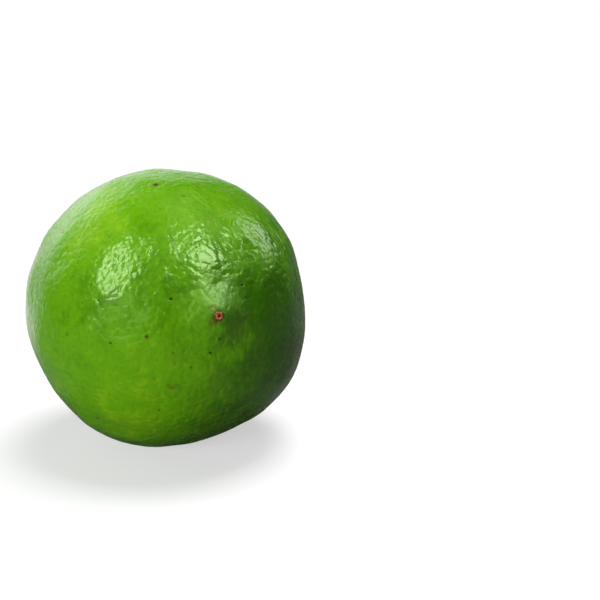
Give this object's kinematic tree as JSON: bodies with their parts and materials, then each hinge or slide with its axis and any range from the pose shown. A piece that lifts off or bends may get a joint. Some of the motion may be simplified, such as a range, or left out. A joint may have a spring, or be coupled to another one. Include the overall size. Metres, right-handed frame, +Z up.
{
  "type": "lime",
  "caption": "Whole green lime as picked, lying on its side, with a low nipple and dry style scar at one end and the calyx and a clipped stalk at the other.",
  "frame": {"origin": "the middle of the flat spot that the fruit rests on, straight under the middle of the fruit, on the surface", "axes": "+Z up, +Y level and towards the stem end, along the fruit's length seen from above; the blossom end points along -Y and 11 degrees up"},
  "size_m": [0.057, 0.0633, 0.0563],
  "materials": {
    "rind": "waxy green citrus rind, finely pebbled by its oil glands, with small dark specks and a few brown rubs",
    "style_scar": "dry reddish-brown cork",
    "calyx": "dry olive-brown sepals and a pale clipped stalk end"
  },
  "bodies": {
    "root": {"lime": "rind"}
  },
  "joints": []
}
